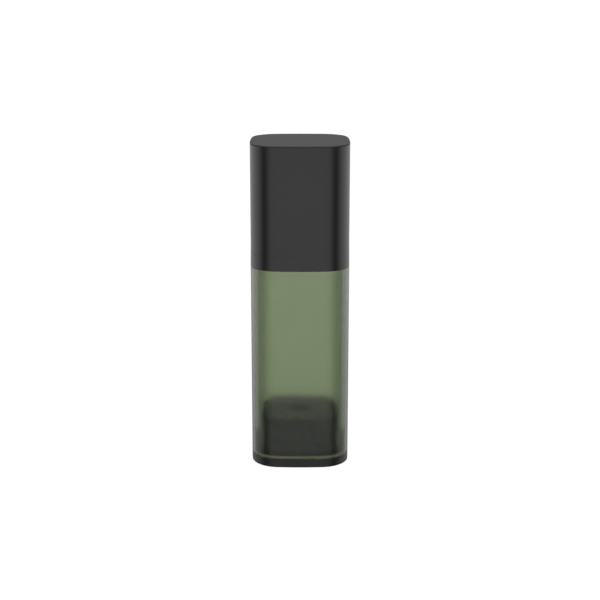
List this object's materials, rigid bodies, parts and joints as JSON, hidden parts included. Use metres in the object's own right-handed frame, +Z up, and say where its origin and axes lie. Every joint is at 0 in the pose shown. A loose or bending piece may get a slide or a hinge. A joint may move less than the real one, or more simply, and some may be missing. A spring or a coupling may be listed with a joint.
{
  "type": "airless pump bottle",
  "caption": "Square airless pump bottle with a lift-off cap, sprung dispensing button, clear jacket, frosted inner bottle and a follower piston that rises as it empties.",
  "frame": {"origin": "centre of the bottle's footprint, on the surface that it stands on", "axes": "+Z up along the bottle's axis, -Y out of the nozzle at the front, +X to the right seen from the front"},
  "size_m": [0.033, 0.033, 0.1083],
  "materials": {
    "black_gloss": "glossy black",
    "black_satin": "satin black",
    "clear_jacket": "clear, polished",
    "green_frost": "frosted green",
    "dark_follower": "satin dark grey",
    "natural_plastic": "natural white",
    "soft_seal": "soft, matt",
    "bright_steel": "bright"
  },
  "bodies": {
    "bottle": {"outer_jacket": "clear_jacket", "inner_bottle": "green_frost", "base_plug": "black_gloss", "shoulder": "black_gloss", "rim_seal": "soft_seal", "housing_gasket": "soft_seal", "pump_housing": "natural_plastic", "ball_cage": "natural_plastic", "stem_guide": "natural_plastic", "snap_ring": "natural_plastic", "closure_sleeve": "black_satin", "return_spring": "bright_steel"},
    "cap": {"cap": "black_gloss"},
    "button": {"actuator_button": "black_satin", "nozzle_tip": "black_satin", "pump_stem": "natural_plastic", "plunger": "natural_plastic"},
    "seal": {"plunger_seal": "soft_seal"},
    "follower": {"follower_piston": "dark_follower"},
    "ball": {"inlet_ball": "bright_steel"}
  },
  "joints": [
    {"name": "cap_lift", "type": "slide", "parent": "bottle", "child": "cap", "axis": [0, 0, 1], "range_m": [0, 0.04]},
    {"name": "button_press", "type": "slide", "parent": "bottle", "child": "button", "axis": [0, 0, -1], "range_m": [0, 0.0045], "stiffness_N_per_m": 2200, "springref_m": -0.002, "deforming": ["return_spring"]},
    {"name": "seal_travel", "type": "slide", "parent": "bottle", "child": "seal", "axis": [0, 0, -1], "range_m": [0, 0.00386]},
    {"name": "follower_rise", "type": "slide", "parent": "bottle", "child": "follower", "axis": [0, 0, 1], "range_m": [0, 0.05]},
    {"name": "ball_lift", "type": "slide", "parent": "bottle", "child": "ball", "axis": [0, 0, 1], "range_m": [0, 0.0008]}
  ],
  "couplings": [
    {"joint": "seal_travel", "follows": "button_press", "ratio": 0.85556}
  ]
}
